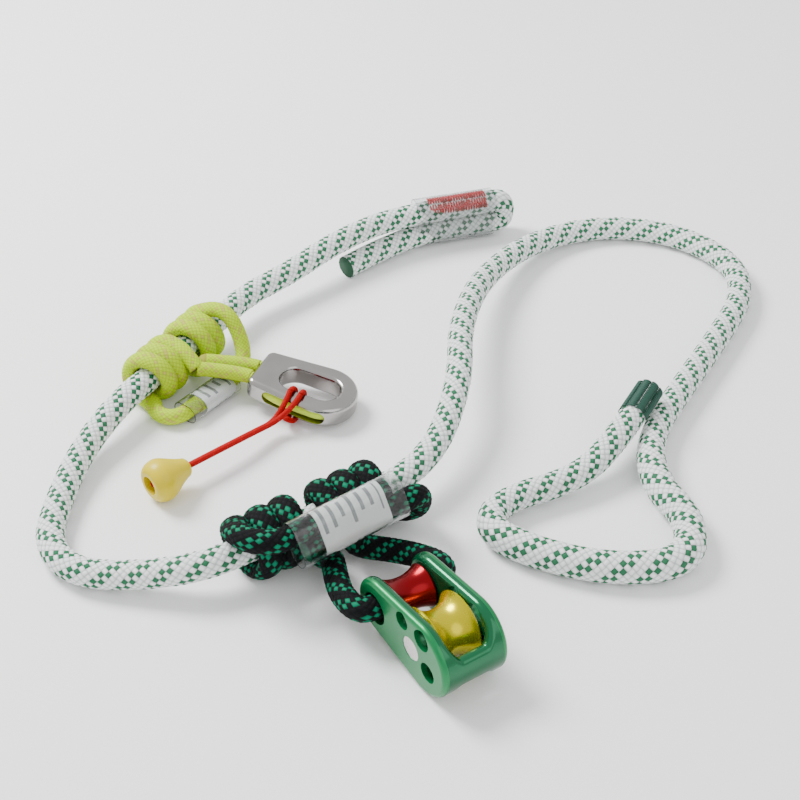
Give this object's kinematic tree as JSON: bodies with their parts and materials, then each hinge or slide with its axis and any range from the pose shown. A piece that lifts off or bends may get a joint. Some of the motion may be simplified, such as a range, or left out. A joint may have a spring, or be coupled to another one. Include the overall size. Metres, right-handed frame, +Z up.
{
  "type": "adjustable rope guide",
  "caption": "Braided anchor rope with sewn eye and stopper, a sliding hitch on a thimble ring with a retrieval cone, and a sling hitch holding a small pulley.",
  "frame": {"origin": "middle of the floor area the laid-out rope covers, at floor level", "axes": "+Z up from the floor; +Y from the pulley towards the stopper, +X from the sliding hitch towards the sewn eye"},
  "size_m": [0.3541, 0.369, 0.041],
  "materials": {
    "main_rope": "braided, white with green flecks",
    "clear_sleeve": "clear shrunk plastic",
    "red_thread": "sewn",
    "green_thread": "sewn",
    "label": "printed strip",
    "yellow_cord": "fine braid",
    "ring_steel": "polished",
    "yellow_plastic": "moulded",
    "red_cord": "fine braid",
    "green_metal": "anodised",
    "yellow_metal": "anodised",
    "red_metal": "anodised",
    "black_cord": "braided, black with green flecks",
    "bearing_steel": "ground"
  },
  "bodies": {
    "rope": {"rope_stopper_run": "main_rope", "rope_left_run": "main_rope", "rope_arch": "main_rope", "rope_loop": "main_rope", "rope_right_leg": "main_rope", "rope_eye": "main_rope", "rope_return_leg": "main_rope", "rope_tail": "main_rope", "stopper_sleeve": "clear_sleeve", "stopper_stitching": "red_thread", "eye_stitching": "green_thread"},
    "adjuster": {"adjuster_turns_upper": "yellow_cord", "adjuster_turns_lower": "yellow_cord", "adjuster_bridge_upper": "yellow_cord", "adjuster_splice": "yellow_cord", "adjuster_bridge_lower": "yellow_cord", "adjuster_label": "label", "adjuster_sleeve": "clear_sleeve"},
    "ring": {"thimble_ring": "ring_steel", "thimble_cord": "yellow_cord", "adjuster_leg_front": "yellow_cord", "adjuster_leg_back": "yellow_cord", "retrieval_cord_left": "red_cord", "retrieval_cord_right": "red_cord", "retrieval_loop": "red_cord", "retrieval_knot": "red_cord"},
    "cone": {"retrieval_cone": "yellow_plastic"},
    "sling": {"sling_turns_left": "black_cord", "sling_turns_right": "black_cord", "sling_bridge_left": "black_cord", "sling_splice": "black_cord", "sling_bridge_right": "black_cord", "sling_label": "label", "sling_sleeve": "clear_sleeve", "sling_legs": "black_cord"},
    "pulley": {"pulley_body": "green_metal", "axle_pin": "bearing_steel", "axle_cap": "bearing_steel", "axle_spacer_left": "bearing_steel", "axle_spacer_right": "bearing_steel", "bearing_inner_race": "bearing_steel", "bearing_balls": "bearing_steel"},
    "sheave": {"sheave": "yellow_metal", "bearing_outer_race": "bearing_steel"},
    "bobbin": {"sling_bobbin": "red_metal"}
  },
  "joints": [
    {"name": "adjuster_slide", "type": "slide", "parent": "rope", "child": "adjuster", "axis": [-0.4999, -0.8661, 0], "range_m": [-0.01, 0.01]},
    {"name": "ring_swing", "type": "hinge", "parent": "adjuster", "child": "ring", "pos_m": [-0.11208, 0.02766, 0.0177], "axis": [-0.4999, -0.8661, 0], "range_deg": [0, 75]},
    {"name": "cone_slide", "type": "slide", "parent": "ring", "child": "cone", "axis": [0.7544, 0.6564, 0], "range_m": [0, 0.018]},
    {"name": "sling_slide", "type": "slide", "parent": "rope", "child": "sling", "axis": [-0.8274, -0.5616, 0], "range_m": [-0.004, 0.004]},
    {"name": "pulley_swing", "type": "hinge", "parent": "sling", "child": "pulley", "pos_m": [-0.0134, -0.1331, 0.0172], "axis": [-0.8331, -0.5531, 0], "range_deg": [0, 100]},
    {"name": "sheave_spin", "type": "hinge", "parent": "pulley", "child": "sheave", "pos_m": [0.00109, -0.15493, 0.0172], "axis": [0.8331, 0.5531, 0], "continuous": true},
    {"name": "bobbin_spin", "type": "hinge", "parent": "sling", "child": "bobbin", "pos_m": [-0.0134, -0.1331, 0.0172], "axis": [0.8331, 0.5531, 0], "continuous": true}
  ]
}
